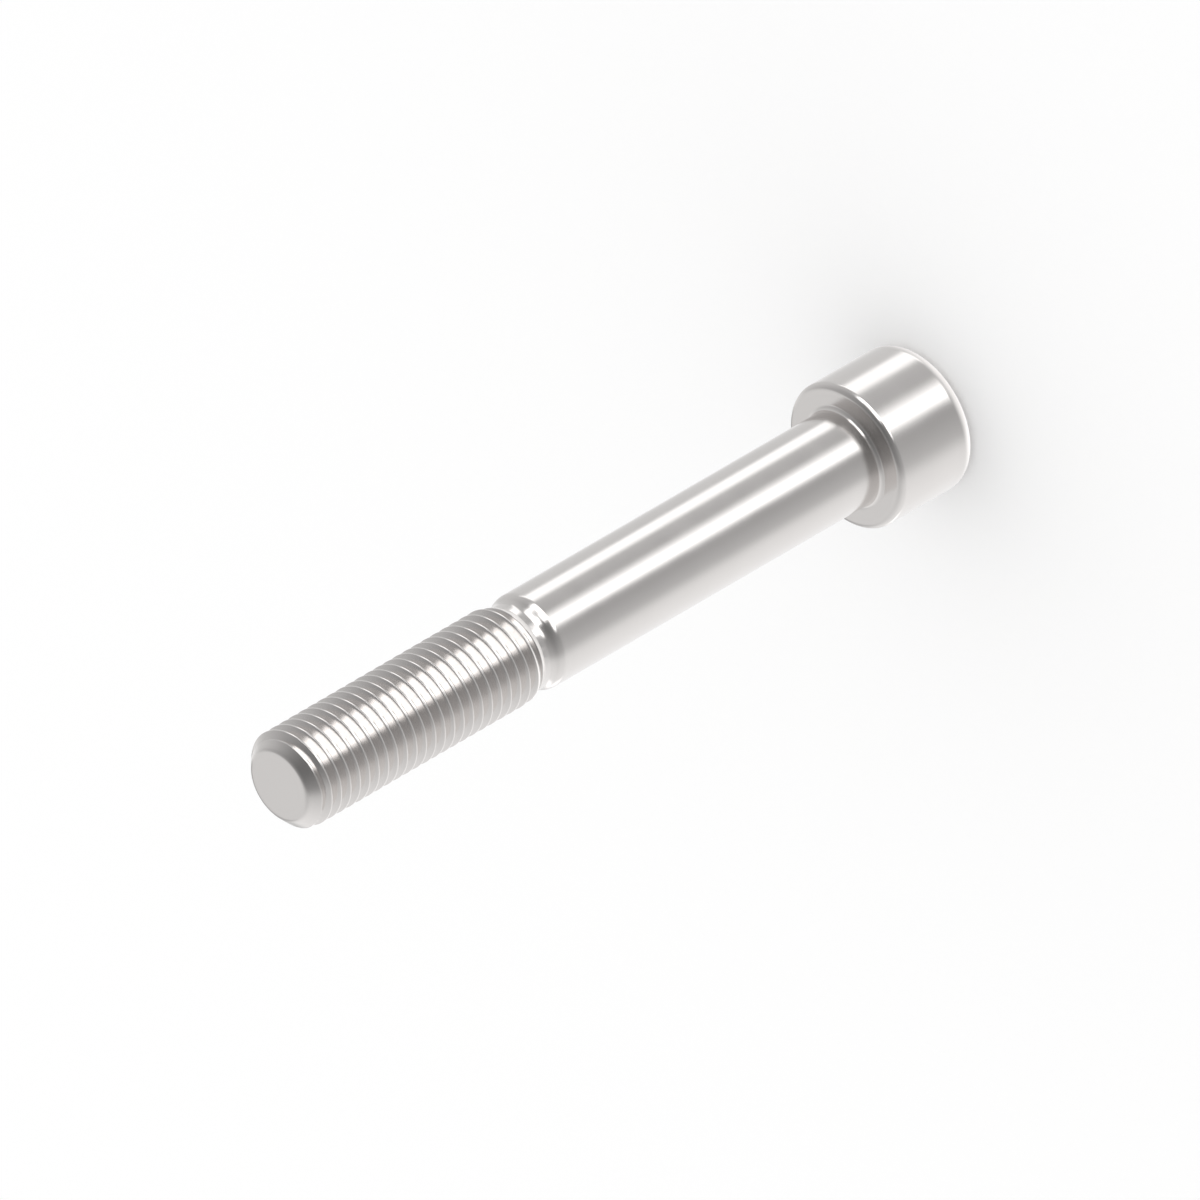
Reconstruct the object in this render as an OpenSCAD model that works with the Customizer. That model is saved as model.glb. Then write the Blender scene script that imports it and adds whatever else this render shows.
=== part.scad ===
// Socket head cap screw, M16 x 2, 120 mm under the head, forged and turned in one piece.
// It stands on its head: z = 0 is the top face of the head, and the tip points up.

/* [Head] */
// Diameter of the head
head_d = 24; // [22:0.5:32]
// Height of the head
head_h = 16; // [14:0.5:24]
// Radius of the rounded edge round the top face of the head
head_edge_r = 2.4; // [0.6:0.1:2.4]
// Radius of the rounded rim under the head
rim_r = 1; // [0.2:0.1:1.6]
// Radius of the fillet where the shank meets the head
fillet_r = 0.8; // [0.4:0.1:1.2]

/* [Hex socket] */
// Width across the flats of the socket
socket_af = 14; // [8:0.5:14]
// Depth of the flat-sided part of the socket
socket_depth = 8; // [5:0.5:9]
// Full angle of the cone that closes the socket
socket_cone_deg = 120; // [100:5:140]
// Width of the flat ledge between the walls of the socket and the cone
socket_ledge = 0.25; // [0.1:0.05:1]
// How far the lead-in at the mouth reaches past the corners of the socket
socket_lead = 0.3; // [0.1:0.05:0.3]
// Full angle of the lead-in
socket_lead_deg = 120; // [90:5:130]

/* [Shank] */
// Length from the bearing face under the head to the tip
length = 120; // [90:5:200]
// Diameter of the plain shank
shank_d = 15.73; // [15.2:0.01:16]
// Axial length of the blend from the shank down to the neck
flare_len = 2.6; // [1.6:0.1:4]

/* [Neck] */
// Diameter of the neck behind the thread
neck_d = 14.2; // [13.4:0.1:14.6]
// Length of the straight part of the neck
neck_len = 1; // [0.4:0.1:4]

/* [Thread] */
// Major diameter of the thread
thread_d = 16; // [16:0.1:16.6]
// Length from the tip to the last full crest of the thread
thread_len = 47; // [30:1:60]
// Axial length over which the last crest tapers down to the neck
runout_len = 2.4; // [1:0.1:4]
// Axial distance from one crest to the next
pitch = 2; // [1.5:0.25:2.5]
// Turns over which the groove gets shallower beside the neck
fade_turns = 0.5; // [0.25:0.25:2]
// Flat facets in one turn of the groove
steps_per_turn = 36; // [24:12:48]

/* [Tip] */
// Axial length of the chamfer at the tip
tip_chamfer = 2.1; // [1:0.1:3]
// Slope of the chamfer from the axis
tip_deg = 45; // [35:1:50]
// Radius of the rounded edge round the tip face
tip_edge_r = 1.2; // [0.3:0.1:1.5]

/* [Hidden] */
$fn = 96;
overlap = 0.01;

head_r = head_d / 2;
shank_r = shank_d / 2;
neck_r = neck_d / 2;
thread_r = thread_d / 2;

// Heights above the top face of the head
tip_z = head_h + length;
thread_end_z = tip_z - thread_len;
neck_top_z = thread_end_z - runout_len;
neck_z = neck_top_z - neck_len;
flare_z = neck_z - flare_len;

// Two equal arcs make the flare, tangent to the shank, to each other and to the neck
flare_drop = shank_r - neck_r;
flare_r = (pow(flare_drop, 2) + pow(flare_len, 2)) / (4 * flare_drop);
flare_mid_r = (shank_r + neck_r) / 2;

// An arc rounds the corner between the chamfer and the tip face
tip_corner_r = thread_r - tip_chamfer * tan(tip_deg);
tip_face_r = tip_corner_r - tip_edge_r * tan((90 - tip_deg) / 2);
tip_arc_steps = 8;

// The groove of a 60 degree metric thread: its crests are an eighth of the pitch wide, its
// root a sixth. The cutter stands proud of the crests, so that it cuts them cleanly.
groove_depth = 0.6134 * pitch;
groove_proud = 0.075 * pitch;
groove_half_w = 7 / 16 * pitch;
// Where round the axis a crest crosses the height of the tip face
crest_turn = 99;
// The groove is out of the metal at both its ends: above the tip, and on the run-out
groove_top_z = tip_z + pitch / 2;
groove_end_z = neck_top_z + runout_len / 8;
groove_turns = (groove_top_z - groove_end_z) / pitch;

socket_corner_r = socket_af / 2 / cos(30);
socket_mouth_r = socket_corner_r + socket_lead;
socket_cone_r = socket_af / 2 - socket_ledge;

// The part of a square corner at the origin that a rounding of radius r leaves empty.
// The round's centre lies at sx * r, sy * r.
module corner_gap(r, sx, sy) {
    difference() {
        translate([sx > 0 ? -overlap : -r, sy > 0 ? -overlap : -r]) square(r + overlap);
        translate([sx * r, sy * r]) circle(r);
    }
}

module head_outline() {
    difference() {
        square([head_r, head_h]);
        translate([head_r, 0]) corner_gap(head_edge_r, -1, 1);
        translate([head_r, head_h]) corner_gap(rim_r, -1, -1);
    }
    translate([shank_r, head_h]) corner_gap(fillet_r, 1, 1);
}

module shank_outline() {
    translate([0, head_h - overlap]) square([shank_r, flare_z - head_h + overlap]);
}

module flare_outline() {
    translate([0, flare_z - overlap]) square([flare_mid_r, flare_len / 2 + overlap]);
    intersection() {
        translate([0, flare_z]) square([shank_r, flare_len / 2]);
        translate([shank_r - flare_r, flare_z]) circle(flare_r);
    }
    difference() {
        translate([0, flare_z + flare_len / 2]) square([flare_mid_r, flare_len / 2]);
        translate([neck_r + flare_r, neck_z]) circle(flare_r);
    }
}

// The neck and the envelope of the thread: the run-out that tapers up from the neck, the
// crests, the chamfer and the rounded edge of the tip face
module thread_outline() {
    polygon([
        [0, neck_z - overlap],
        [neck_r, neck_z - overlap],
        [neck_r, neck_top_z],
        [thread_r, thread_end_z],
        [thread_r, tip_z - tip_chamfer],
        for (i = [tip_arc_steps : -1 : 0])
            let (turn = (90 - tip_deg) * i / tip_arc_steps)
                [tip_face_r + tip_edge_r * sin(turn), tip_z + tip_edge_r * (cos(turn) - 1)],
        [0, tip_z]
    ]);
}

// The cutter of the right-hand groove: one section swept down a helix from above the tip.
// Over its last turns it draws out of the metal.
module thread_groove() {
    steps = ceil(groove_turns * steps_per_turn);
    function lift(i) =
        groove_depth * max(0, 1 - (groove_turns - i / steps_per_turn) / fade_turns);
    function half_w(out) = groove_half_w + out * tan(30);
    section = [
        [-groove_depth, half_w(-groove_depth)],
        [groove_proud, half_w(groove_proud)],
        [groove_proud, -half_w(groove_proud)],
        [-groove_depth, -half_w(-groove_depth)]
    ];
    points = [
        for (i = [0 : steps], p = section)
            let (
                turn = crest_turn - 360 * i / steps_per_turn,
                r = thread_r + p[0] + lift(i),
                z = groove_top_z - pitch * i / steps_per_turn + p[1]
            )
                [r * cos(turn), r * sin(turn), z]
    ];
    sides = [
        for (i = [0 : steps - 1], k = [0 : 3])
            let (a = 4 * i + k, b = 4 * i + (k + 1) % 4)
                each [[a, b, b + 4], [a, b + 4, a + 4]]
    ];
    last = 4 * steps;
    polyhedron(points, concat([[3, 2, 1, 0]], sides, [[last, last + 1, last + 2, last + 3]]));
}

// A cone of full angle deg that points up from a circle of radius r at z = 0
module point(r, deg) {
    cylinder(h = r / tan(deg / 2), r1 = r, r2 = 0);
}

// Straight walls for the key, a lead-in at the mouth and a cone at the bottom
module hex_socket() {
    translate([0, 0, -overlap])
        linear_extrude(socket_depth + overlap) circle(socket_corner_r, $fn = 6);
    point(socket_mouth_r, socket_lead_deg);
    translate([0, 0, socket_depth]) point(socket_cone_r, socket_cone_deg);
}

module cap_screw() {
    color("gainsboro")
        difference() {
            rotate_extrude() {
                head_outline();
                shank_outline();
                flare_outline();
                thread_outline();
            }
            hex_socket();
            thread_groove();
        }
}

cap_screw();
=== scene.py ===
"""Looks of the socket head cap screw: one steel mesh with its true thread, stood on its head."""

import math

import bpy
import numpy as np
from mathutils import Matrix, Vector

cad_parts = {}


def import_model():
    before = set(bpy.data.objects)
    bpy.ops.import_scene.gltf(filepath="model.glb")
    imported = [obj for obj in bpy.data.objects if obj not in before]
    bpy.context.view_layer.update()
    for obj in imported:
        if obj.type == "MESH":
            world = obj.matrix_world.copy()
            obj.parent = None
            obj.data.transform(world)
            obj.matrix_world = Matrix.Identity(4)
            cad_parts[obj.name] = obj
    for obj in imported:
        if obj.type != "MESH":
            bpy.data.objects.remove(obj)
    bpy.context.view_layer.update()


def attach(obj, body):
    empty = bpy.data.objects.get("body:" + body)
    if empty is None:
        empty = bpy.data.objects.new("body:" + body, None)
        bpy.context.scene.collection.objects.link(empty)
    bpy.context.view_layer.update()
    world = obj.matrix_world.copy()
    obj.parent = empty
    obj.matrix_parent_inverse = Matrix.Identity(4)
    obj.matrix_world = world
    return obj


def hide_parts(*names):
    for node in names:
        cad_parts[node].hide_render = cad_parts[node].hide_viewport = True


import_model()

MM = 0.001

# Segments round the axis, a multiple of 6 so that the socket's corners fall on vertices
SEGMENTS = 156

# Sizes, in mm

HEAD_R = 12.0
HEAD_H = 16.0
HEAD_EDGE_R = 2.4
RIM_R = 1.0
FILLET_R = 0.8

SOCKET_AF = 14.0
SOCKET_DEPTH = 8.0
SOCKET_LEAD = 0.3
SOCKET_LEDGE = 0.25
# Half the angle of the lead-in, and of the cone that closes the socket
SOCKET_HALF_CONE = math.radians(60)
SOCKET_MOUTH_R = SOCKET_AF / 2 / math.cos(math.radians(30)) + SOCKET_LEAD
SOCKET_CONE_R = SOCKET_AF / 2 - SOCKET_LEDGE

SHANK_R = 7.865
NECK_R = 7.1
FLARE_Z = 83.0
NECK_Z = 85.6
NECK_TOP_Z = 86.6

TIP_Z = 136.0
THREAD_R = 8.0
PITCH = 2.0
THREAD_END_Z = 89.0
# The chamfer of the tip slopes 45 degrees
CHAMFER = 2.1
TIP_EDGE_R = 1.2
TIP_INNER_R = 2.5
# Where round the axis the crest of the thread crosses the height TIP_Z
THREAD_TURN = math.radians(99)

# Rows beside a corner keep what lies next to it flat: their distance from it on faces and in
# the socket, and on turned walls
FACE_ROW = 0.05
WALL_ROW = 0.1
# Heights of the other rows of the shank
SHANK_ROWS = (30, 45, 60, 75)

# The thread: 60 degree flanks between a flat crest and a flat root, with rounded corners.
# The crest is an eighth of the pitch wide.

SLOPE = math.tan(math.radians(30))
SIN_60 = math.sin(math.radians(60))
CREST_HALF_W = PITCH / 16
GROOVE_DEPTH = 0.6134 * PITCH
ROOT_HALF_W = PITCH / 2 - CREST_HALF_W - GROOVE_DEPTH * SLOPE
CREST_R = 0.04
ROOT_R = 0.07
# Where the corners' arcs start on the flats
CREST_FLAT = CREST_HALF_W - CREST_R * SLOPE
ROOT_FLAT = ROOT_HALF_W - ROOT_R * SLOPE
# Over its last half turn, down to this height, the groove draws out of the metal
GROOVE_END_Z = NECK_TOP_Z + (THREAD_END_Z - NECK_TOP_Z) / 8
FADE_TURNS = 0.5


def thread_depth(d):
    """Depth of the groove below the crests, d mm along the axis from the middle of a crest."""
    d = np.abs(d)
    crest_arc = np.clip(d - CREST_FLAT, 0, CREST_R * SIN_60)
    root_arc = np.clip(PITCH / 2 - d - ROOT_FLAT, 0, ROOT_R * SIN_60)
    crest = CREST_R - np.sqrt(CREST_R ** 2 - crest_arc ** 2)
    root = GROOVE_DEPTH - ROOT_R + np.sqrt(ROOT_R ** 2 - root_arc ** 2)
    depth = np.where(d < CREST_FLAT + CREST_R * SIN_60, crest, (d - CREST_HALF_W) / SLOPE)
    return np.where(PITCH / 2 - d < ROOT_FLAT + ROOT_R * SIN_60, root, depth)


def envelope(z):
    """Radius that the thread never passes: run-out, crests and the chamfer of the tip."""
    run_out = NECK_R + (THREAD_R - NECK_R) * (z - NECK_TOP_Z) / (THREAD_END_Z - NECK_TOP_Z)
    chamfer = THREAD_R - (z - (TIP_Z - CHAMFER))
    return np.minimum(np.clip(run_out, NECK_R, THREAD_R), chamfer)


def thread_radius(z, theta):
    """Radius of the surface at height z, theta round the axis."""
    turn = (z - TIP_Z) / PITCH - (theta - THREAD_TURN) / (2 * math.pi)
    along = (turn - np.round(turn)) * PITCH
    groove_z = z - along + np.copysign(PITCH / 2, along)
    turns_left = (groove_z - GROOVE_END_Z) / PITCH
    lift = GROOVE_DEPTH * np.clip(1 - turns_left / FADE_TURNS, 0, 1)
    depth = np.maximum(thread_depth(along) - lift, 0)
    return np.minimum(envelope(z), THREAD_R - depth)


# The outline of the rest, revolved


def arc(centre_r, centre_z, radius, start, end, steps):
    """Points (r, z) on an arc, the angles in degrees from +r towards +z."""
    turns = np.radians(np.linspace(start, end, steps + 1))
    return [(centre_r + radius * math.cos(t), centre_z + radius * math.sin(t)) for t in turns]


def flare_points(steps):
    """Two equal arcs from the shank down to the neck."""
    drop = SHANK_R - NECK_R
    length = NECK_Z - FLARE_Z
    radius = (drop ** 2 + length ** 2) / (4 * drop)
    half = math.degrees(math.asin(length / 2 / radius))
    outer = arc(SHANK_R - radius, FLARE_Z, radius, 0, half, steps)
    inner = arc(NECK_R + radius, NECK_Z, radius, 180 + half, 180, steps)
    return outer + inner[1:]


def lower_outline():
    """From the mouth of the socket round the head and up to the neck."""
    edge_r = HEAD_R - HEAD_EDGE_R
    rim_r = HEAD_R - RIM_R
    fillet_r = SHANK_R + FILLET_R
    points = [(SOCKET_MOUTH_R, 0), (SOCKET_MOUTH_R + FACE_ROW, 0), (edge_r - FACE_ROW, 0)]
    points += arc(edge_r, HEAD_EDGE_R, HEAD_EDGE_R, -90, 0, steps=14)
    points += [(HEAD_R, HEAD_EDGE_R + WALL_ROW), (HEAD_R, HEAD_H / 2)]
    points += [(HEAD_R, HEAD_H - RIM_R - WALL_ROW)]
    points += arc(rim_r, HEAD_H - RIM_R, RIM_R, 0, 90, steps=10)
    points += [(rim_r - FACE_ROW, HEAD_H), (fillet_r + FACE_ROW, HEAD_H)]
    points += arc(fillet_r, HEAD_H + FILLET_R, FILLET_R, 270, 180, steps=10)
    points += [(SHANK_R, HEAD_H + FILLET_R + WALL_ROW)]
    points += [(SHANK_R, z) for z in SHANK_ROWS]
    points += [(SHANK_R, FLARE_Z - WALL_ROW)]
    points += flare_points(steps=9)
    points += [(NECK_R, NECK_Z + WALL_ROW)]
    return points


def upper_outline():
    """Over the rounded edge of the tip and in to its face."""
    cone_r = THREAD_R - CHAMFER
    face_r = cone_r - TIP_EDGE_R * math.tan(math.radians(22.5))
    points = arc(face_r, TIP_Z - TIP_EDGE_R, TIP_EDGE_R, 45, 90, steps=8)
    return points + [(face_r - FACE_ROW, TIP_Z), (TIP_INNER_R, TIP_Z)]


# The mesh

ANGLES = np.arange(SEGMENTS) * 2 * math.pi / SEGMENTS


class Mesh:
    """Vertices and faces gathered ring by ring, every ring with SEGMENTS vertices."""

    def __init__(self):
        self.verts = []
        self.faces = []

    def ring(self, radii, heights):
        """Adds a ring; radii and heights are one value or one for each segment, in mm."""
        radii = np.broadcast_to(np.asarray(radii, float), SEGMENTS)
        heights = np.broadcast_to(np.asarray(heights, float), SEGMENTS)
        first = len(self.verts)
        self.verts += [(r * math.cos(t), r * math.sin(t), z)
                       for r, z, t in zip(radii, heights, ANGLES)]
        return list(range(first, first + SEGMENTS))

    def bridge(self, below, above):
        """Fills the band between two rings."""
        for i in range(SEGMENTS):
            j = (i + 1) % SEGMENTS
            self.faces.append((below[i], below[j], above[j], above[i]))

    def cap(self, ring, z, up):
        """Closes a ring with a point on the axis at height z."""
        centre = len(self.verts)
        self.verts.append((0, 0, z))
        for i in range(SEGMENTS):
            j = (i + 1) % SEGMENTS
            self.faces.append((ring[i], ring[j], centre) if up else (ring[j], ring[i], centre))


def add_socket(mesh, mouth):
    """The hex socket, from the ring of its mouth up to the point of its cone."""
    across = np.mod(ANGLES, math.radians(60)) - math.radians(30)
    wall = SOCKET_AF / 2 / np.cos(across)
    lead = (SOCKET_MOUTH_R - wall) / math.tan(SOCKET_HALF_CONE)
    rings = [mouth, mesh.ring(wall, lead), mesh.ring(wall, lead + FACE_ROW)]
    rings.append(mesh.ring(wall, SOCKET_DEPTH - FACE_ROW))
    rings.append(mesh.ring(wall, SOCKET_DEPTH))
    rings.append(mesh.ring(SOCKET_CONE_R, SOCKET_DEPTH))
    apex = SOCKET_DEPTH + SOCKET_CONE_R / math.tan(SOCKET_HALF_CONE)
    rings.append(mesh.ring(SOCKET_CONE_R / 2, (SOCKET_DEPTH + apex) / 2))
    for outer, inner in zip(rings, rings[1:]):
        mesh.bridge(inner, outer)
    mesh.cap(rings[-1], apex, up=False)


def pattern_rows(half):
    """Offsets of the rows of one turn from the middle of its crest, from the groove below to
    the groove above, given the distances of the rows on one side."""
    mirrored = [-d for d in half[::-1] if d > 0]
    return np.array(mirrored + list(half))


# Vertices of the thread that come nearer than this to a flat ring are the ring's own
SNAP = 0.004


def add_thread(mesh, low, high, below, above, half):
    """The threaded surface between two flat rings, on rows that climb with the helix."""
    pattern = pattern_rows(half)
    first = math.floor((low - PITCH - TIP_Z) / PITCH) - 1
    last = math.ceil((high - TIP_Z) / PITCH) + 1
    start = TIP_Z - THREAD_TURN / (2 * math.pi) * PITCH
    rows = np.concatenate([start + k * PITCH + pattern for k in range(first, last + 1)])
    ids = []
    for row in rows:
        heights = row + PITCH * ANGLES / (2 * math.pi)
        radii = thread_radius(heights, ANGLES)
        line = []
        for i in range(SEGMENTS):
            if heights[i] <= low + SNAP:
                line.append(below[i])
            elif heights[i] >= high - SNAP:
                line.append(above[i])
            else:
                line.append(len(mesh.verts))
                mesh.verts.append((radii[i] * math.cos(ANGLES[i]),
                                   radii[i] * math.sin(ANGLES[i]), heights[i]))
        ids.append(line)
    turn = len(pattern)
    for m in range(len(rows) - 1 - turn):
        for i in range(SEGMENTS):
            if i + 1 < SEGMENTS:
                corners = [ids[m][i], ids[m][i + 1], ids[m + 1][i + 1], ids[m + 1][i]]
            else:
                corners = [ids[m][i], ids[m + turn][0], ids[m + turn + 1][0], ids[m + 1][i]]
            face = [c for n, c in enumerate(corners) if c != corners[n - 1]]
            if len(face) > 2 and len(set(face)) == len(face):
                mesh.faces.append(tuple(face))


def corner_rows(flat, radius):
    """Rows over a rounded corner and just beside it, so that the flats stay flat."""
    round_rows = [flat + radius * math.sin(math.radians(turn)) for turn in (0, 30, 60)]
    return [flat - radius] + round_rows + [round_rows[-1] + radius / 2]


CREST_ROWS = corner_rows(CREST_FLAT, CREST_R)
ROOT_ROWS = [PITCH / 2 - row for row in reversed(corner_rows(ROOT_FLAT, ROOT_R))]
# Across the flanks rows are needed only where the run-out or the chamfer cuts them
FLANK_ROWS = list(np.linspace(CREST_ROWS[-1], ROOT_ROWS[0], 9)[1:-1])
COARSE = CREST_ROWS + ROOT_ROWS
FINE = [0] + CREST_ROWS + FLANK_ROWS + ROOT_ROWS
# How far the fine rows reach into the full thread, past the run-out and past the chamfer
RUN_OUT_REACH = 0.4 * PITCH
CHAMFER_REACH = 0.25


def thread_ring(mesh, z):
    """A flat ring on the threaded surface, where its fine and its coarse rows meet."""
    return mesh.ring(thread_radius(np.full(SEGMENTS, z), ANGLES), z)


def build_screw():
    """The screw in one closed mesh: head and shank, socket, tip and the thread between."""
    mesh = Mesh()
    lower = [mesh.ring(r, z) for r, z in lower_outline()]
    for a, b in zip(lower, lower[1:]):
        mesh.bridge(a, b)
    add_socket(mesh, lower[0])
    upper = [mesh.ring(r, z) for r, z in upper_outline()]
    for a, b in zip(upper, upper[1:]):
        mesh.bridge(a, b)
    mesh.cap(upper[-1], TIP_Z, up=True)
    neck_z = NECK_TOP_Z - FACE_ROW
    neck = mesh.ring(NECK_R, neck_z)
    mesh.bridge(lower[-1], neck)
    split_low = THREAD_END_Z + RUN_OUT_REACH
    split_high = TIP_Z - CHAMFER - CHAMFER_REACH
    low_ring = thread_ring(mesh, split_low)
    high_ring = thread_ring(mesh, split_high)
    tip_edge_z = upper_outline()[0][1]
    add_thread(mesh, neck_z, split_low, neck, low_ring, FINE)
    add_thread(mesh, split_low, split_high, low_ring, high_ring, COARSE)
    add_thread(mesh, split_high, tip_edge_z, high_ring, upper[0], FINE)
    return mesh


def make_object(name, mesh):
    """A Blender object from a mesh in mm, shaded smooth except inside the socket."""
    data = bpy.data.meshes.new(name)
    verts = [(x * MM, y * MM, z * MM) for x, y, z in mesh.verts]
    data.from_pydata(verts, [], mesh.faces)
    data.update()
    obj = bpy.data.objects.new(name, data)
    bpy.context.scene.collection.objects.link(obj)
    data.polygons.foreach_set("use_smooth", [True] * len(data.polygons))
    sharpen_socket(data)
    return obj


# Edges below this height and within this radius are the socket's, and those that turn by more
# than this angle are crisp
SOCKET_TOP = 12 * MM
SOCKET_REACH = 8.5 * MM
CRISP_ANGLE = math.radians(35)


def sharpen_socket(data):
    """The edges inside the socket stay crisp; every other edge of the screw is rounded."""
    flat = data.copy()
    flat.set_sharp_from_angle(angle=CRISP_ANGLE)
    sharp = data.attributes.new("sharp_edge", "BOOLEAN", "EDGE")
    marks = [item.value for item in flat.attributes["sharp_edge"].data]
    for edge, mark in zip(data.edges, marks):
        a, b = (data.vertices[v].co for v in edge.vertices)
        reach = max(a.xy.length, b.xy.length)
        inside = max(a.z, b.z) < SOCKET_TOP and reach < SOCKET_REACH
        sharp.data[edge.index].value = mark and inside
    bpy.data.meshes.remove(flat)


# Material


class Tree:
    """Short names for adding nodes to a material or a world."""

    def __init__(self, tree):
        self.tree = tree

    def add(self, kind, **settings):
        node = self.tree.nodes.new(kind)
        for name, value in settings.items():
            setattr(node, name, value)
        return node

    def put(self, socket, value):
        """Links another node's output to a socket, or sets the socket to a plain value."""
        if isinstance(value, bpy.types.NodeSocket):
            self.tree.links.new(value, socket)
        else:
            socket.default_value = value

    def math(self, operation, a, b=0.0):
        node = self.add("ShaderNodeMath", operation=operation)
        self.put(node.inputs[0], a)
        self.put(node.inputs[1], b)
        return node.outputs[0]

    def dot(self, a, b):
        node = self.add("ShaderNodeVectorMath", operation="DOT_PRODUCT")
        self.put(node.inputs[0], a)
        self.put(node.inputs[1], b)
        return node.outputs["Value"]

    def ramp(self, value, start, end, low=0.0, high=1.0):
        """A smooth step from low to high while value goes from start to end."""
        node = self.add("ShaderNodeMapRange", interpolation_type="SMOOTHSTEP")
        self.put(node.inputs["Value"], value)
        self.put(node.inputs["From Min"], start)
        self.put(node.inputs["From Max"], end)
        self.put(node.inputs["To Min"], low)
        self.put(node.inputs["To Max"], high)
        return node.outputs["Result"]

    def noise(self, where, scale, dimensions, detail):
        node = self.add("ShaderNodeTexNoise", noise_dimensions=dimensions)
        self.put(node.inputs["W" if dimensions == "1D" else "Vector"], where)
        node.inputs["Scale"].default_value = scale
        node.inputs["Detail"].default_value = detail
        return node.outputs["Fac"]

    def total(self, values):
        result = values[0]
        for value in values[1:]:
            result = self.math("ADD", result, value)
        return result


STEEL_COLOR = (0.78, 0.755, 0.74)
# Features to the metre: lay marks, their slow drift, clouds and grain
LAY_MARKS = 3200
LAY_DRIFT = 160
CLOUDS = 130
GRAIN = 3000
# Share of the radius in the tool's path, which runs along the axis on a cylinder, inwards on a
# face and along both on a chamfer
PATH_INWARDS = 0.7
# The socket's dull, broached surface, and its colour darkened as painted shade, end at this
# radius and this height
DULL_REACH = 8.3 * MM
DULL_TOP = 11.95 * MM
# Share of the steel's colour: plain, what clouds and lay marks add, and in the socket, where it
# is darkened as painted shade
SHADE = 0.955
SHADE_CLOUDS = 0.05
SHADE_LAY = 0.04
SOCKET_PAINTED_SHADE = 0.72
# Roughness: plain, and what clouds, drift and the socket add
ROUGH = 0.13
ROUGH_CLOUDS = 0.07
ROUGH_DRIFT = 0.05
ROUGH_SOCKET = 0.16
# Height of the lay marks, and of the grain as a share of it
LAY_HEIGHT = 0.002 * MM
GRAIN_SHARE = 0.9


def steel():
    """Bright turned steel: fine lay marks round the axis, and a rougher, broached socket whose
    colour is darkened as painted shade.
    """
    mat = bpy.data.materials.new("steel")
    mat.use_nodes = True
    t = Tree(mat.node_tree)
    shader = mat.node_tree.nodes["Principled BSDF"]
    place = t.add("ShaderNodeTexCoord").outputs["Object"]
    parts = t.add("ShaderNodeSeparateXYZ")
    t.put(parts.inputs["Vector"], place)
    x, y, z = parts.outputs
    radius = t.math("SQRT", t.math("ADD", t.math("MULTIPLY", x, x), t.math("MULTIPLY", y, y)))

    path = t.math("SUBTRACT", z, t.math("MULTIPLY", radius, PATH_INWARDS))
    lay = t.noise(path, LAY_MARKS, dimensions="1D", detail=3.0)
    drift = t.noise(path, LAY_DRIFT, dimensions="1D", detail=1.0)
    clouds = t.noise(place, CLOUDS, dimensions="3D", detail=3.0)
    grain = t.noise(place, GRAIN, dimensions="3D", detail=2.0)
    # The socket's mask: a rougher broached finish, and painted shade in its colour
    socket = t.math("MULTIPLY", t.math("LESS_THAN", radius, DULL_REACH),
                    t.math("LESS_THAN", z, DULL_TOP))

    shade = t.total([SHADE, t.math("MULTIPLY", clouds, SHADE_CLOUDS),
                     t.math("MULTIPLY", lay, SHADE_LAY)])
    # Inside the socket the colour is darkened: painted shade in the recess
    shade = t.math("MULTIPLY", shade, t.ramp(socket, 0.0, 1.0, 1.0, SOCKET_PAINTED_SHADE))
    tint = t.add("ShaderNodeVectorMath", operation="SCALE")
    t.put(tint.inputs["Vector"], STEEL_COLOR)
    t.put(tint.inputs["Scale"], shade)
    t.put(shader.inputs["Base Color"], tint.outputs["Vector"])

    rough = t.total([ROUGH, t.math("MULTIPLY", clouds, ROUGH_CLOUDS),
                     t.math("MULTIPLY", drift, ROUGH_DRIFT),
                     t.math("MULTIPLY", socket, ROUGH_SOCKET)])
    t.put(shader.inputs["Roughness"], rough)

    height = t.math("ADD", lay, t.math("MULTIPLY", grain, GRAIN_SHARE))
    bump = t.add("ShaderNodeBump")
    t.put(bump.inputs["Height"], height)
    bump.inputs["Strength"].default_value = 1.0
    bump.inputs["Distance"].default_value = LAY_HEIGHT
    t.put(shader.inputs["Normal"], bump.outputs["Normal"])
    shader.inputs["Metallic"].default_value = 1.0
    return mat


# Studio

# The picture's own directions, in the part's frame: along the screw, across it and upwards
ALONG = (0, 0, 1)
ACROSS = (math.sqrt(0.5), math.sqrt(0.5), 0)
UPWARDS = (math.sqrt(0.5), -math.sqrt(0.5), 0)

# Soft boxes, as (along, across) ranges on a ceiling one unit up, edge and strength. The last
# is a dark flag in the third, where the flat faces would mirror it to a view from behind.
SOFT_BOXES = [
    ((-0.82, -0.46), (-1.30, -0.47), 0.41, 4.20),
    ((-1.32, -0.68), (0.55, 1.58), 0.13, 0.90),
    ((-0.49, 0.43), (-0.50, 0.32), 0.07, 1.90),
    ((0.12, 0.42), (-0.15, 0.15), 0.10, -1.30),
]
# A white and a dark card, the same way on a ground one unit down
CARDS = [
    ((-0.60, -0.15), (-0.15, 0.25), 0.10, 0.50),
    ((-0.60, 0.60), (0.50, 1.70), 0.20, -0.42),
]
# Boxes and cards fade out towards the horizon, below this height of a direction
HORIZON_FADE = 0.1
# Heights under this one count as this one, so that nothing is divided by zero
LEAST_HEIGHT = 0.001

# The surroundings: their plain level, and what the direction's parts along the screw, across
# it and upwards add, the last two multiplied, and the first squared
LEVEL = 0.534
LEVEL_ALONG = -0.148
LEVEL_ACROSS = 0.13
LEVEL_UPWARDS = -0.187
LEVEL_DIAGONAL = 0.13
LEVEL_ENDS = -0.16
# The lighter ground: upwards parts where it is full and where it ends, and its strength
GROUND = (-0.51, -0.11, 0.227)
# The wall behind the head: along parts where it starts and where it is full, and its strength
WALL = (-0.47, -1.02, 0.66)


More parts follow.
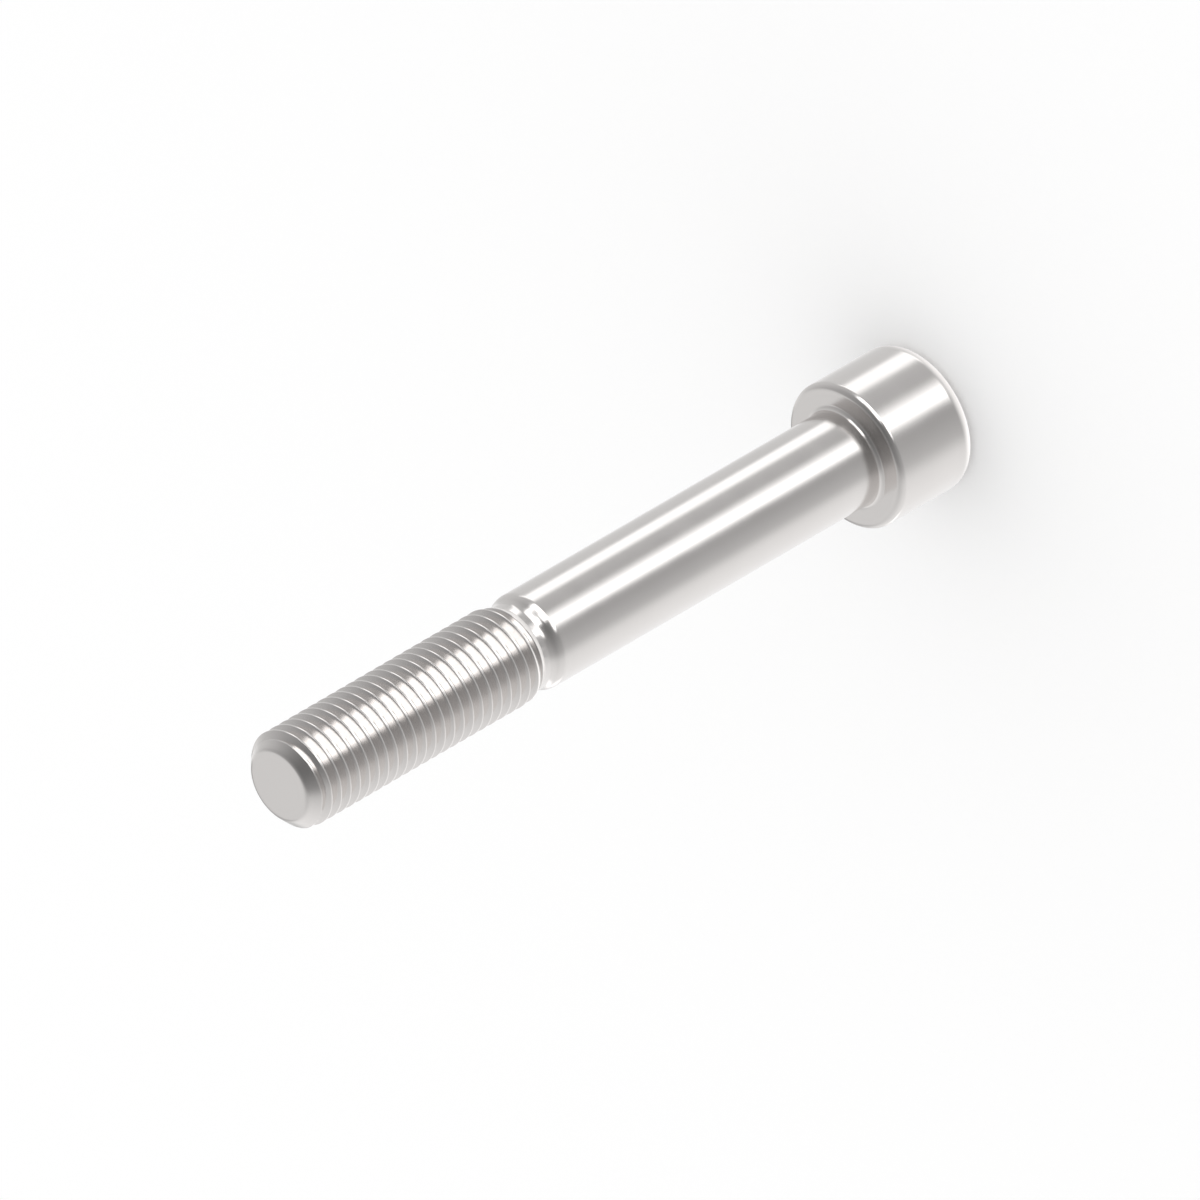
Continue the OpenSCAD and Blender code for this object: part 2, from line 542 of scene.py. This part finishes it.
def cards(t, along, across, height, places):
    """Light of the rectangles in places, seen on a plane at the given height."""
    above = t.ramp(height, 0.0, HORIZON_FADE)
    height = t.math("MAXIMUM", height, LEAST_HEIGHT)
    x = t.math("DIVIDE", along, height)
    y = t.math("DIVIDE", across, height)
    lights = []
    for (x0, x1), (y0, y1), edge, strength in places:
        inside = above
        for value, low, high in ((x, x0, x1), (y, y0, y1)):
            inside = t.math("MULTIPLY", inside, t.ramp(value, low - edge, low + edge))
            inside = t.math("MULTIPLY", inside, t.ramp(value, high + edge, high - edge))
        lights.append(t.math("MULTIPLY", inside, strength))
    return t.total(lights)


def studio_light(t, direction):
    """Light from a direction: pale surroundings, a lighter ground, a bright wall behind the
    head, soft boxes overhead and cards underneath."""
    along = t.dot(direction, ALONG)
    across = t.dot(direction, ACROSS)
    upwards = t.dot(direction, UPWARDS)
    surroundings = t.total([
        LEVEL,
        t.math("MULTIPLY", along, LEVEL_ALONG),
        t.math("MULTIPLY", across, LEVEL_ACROSS),
        t.math("MULTIPLY", upwards, LEVEL_UPWARDS),
        t.math("MULTIPLY", t.math("MULTIPLY", across, upwards), LEVEL_DIAGONAL),
        t.math("MULTIPLY", t.math("MULTIPLY", along, along), LEVEL_ENDS),
    ])
    full, end, strength = GROUND
    ground = t.ramp(upwards, full, end, strength, 0.0)
    start, full, strength = WALL
    wall = t.ramp(along, start, full, 0.0, strength)
    overhead = cards(t, along, across, upwards, SOFT_BOXES)
    underneath = cards(t, along, across, t.math("MULTIPLY", upwards, -1.0), CARDS)
    return t.total([surroundings, ground, wall, overhead, underneath])


def world():
    """White for the camera and for the floor's light; the metal sees the studio."""
    data = bpy.data.worlds.new("studio")
    bpy.context.scene.world = data
    data.use_nodes = True
    t = Tree(data.node_tree)
    background = data.node_tree.nodes["Background"]
    background.inputs["Color"].default_value = (1, 1, 1, 1)
    direction = t.add("ShaderNodeTexCoord").outputs["Generated"]
    glossy = t.add("ShaderNodeLightPath").outputs["Is Glossy Ray"]
    seen = t.add("ShaderNodeMix", data_type="FLOAT")
    t.put(seen.inputs["Factor"], glossy)
    t.put(seen.inputs["A"], 1.0)
    t.put(seen.inputs["B"], studio_light(t, direction))
    t.put(background.inputs["Strength"], seen.outputs["Result"])


# In metres. The floor lies a hair below the head, so that the two faces don't share a plane.
FLOOR_SIZE = 6
FLOOR_Z = -0.02 * MM


def floor():
    """A white, matt floor that only the metal doesn't see."""
    bpy.ops.mesh.primitive_plane_add(size=FLOOR_SIZE, location=(0, 0, FLOOR_Z))
    obj = bpy.context.object
    obj.name = "floor"
    mat = bpy.data.materials.new("floor")
    mat.use_nodes = True
    shader = mat.node_tree.nodes["Principled BSDF"]
    shader.inputs["Base Color"].default_value = (1, 1, 1, 1)
    shader.inputs["Roughness"].default_value = 1.0
    shader.inputs["Specular IOR Level"].default_value = 0.0
    obj.data.materials.append(mat)
    obj.visible_glossy = False


# The camera looks down by this angle from the -Y side and is rolled, so that the standing
# screw lies in the picture as the photo shows it. It has no perspective.
TILT = math.radians(35.26)
ROLL = math.radians(120.13)
AIM = Vector((-0.00007, 0, 0.06795))
PICTURE_WIDTH = 1200
PIXELS_TO_THE_METRE = 6680


def camera():
    """The photo's view, from one metre away."""
    view = Vector((0, -math.cos(TILT), math.sin(TILT)))
    level_right = Vector((1, 0, 0))
    level_up = Vector((0, math.sin(TILT), math.cos(TILT)))
    right = level_right * math.cos(ROLL) - level_up * math.sin(ROLL)
    up = level_right * math.sin(ROLL) + level_up * math.cos(ROLL)
    data = bpy.data.cameras.new("camera")
    data.type = "ORTHO"
    data.ortho_scale = PICTURE_WIDTH / PIXELS_TO_THE_METRE
    obj = bpy.data.objects.new("camera", data)
    bpy.context.scene.collection.objects.link(obj)
    turn = Matrix((right, up, view)).transposed().to_4x4()
    obj.matrix_world = Matrix.Translation(AIM + view) @ turn
    bpy.context.scene.camera = obj


screw = make_object("screw", build_screw())
screw.data.materials.append(steel())
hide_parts("cap_screw")
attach(screw, "root")
world()
floor()
camera()
bpy.context.scene.view_settings.view_transform = "Standard"
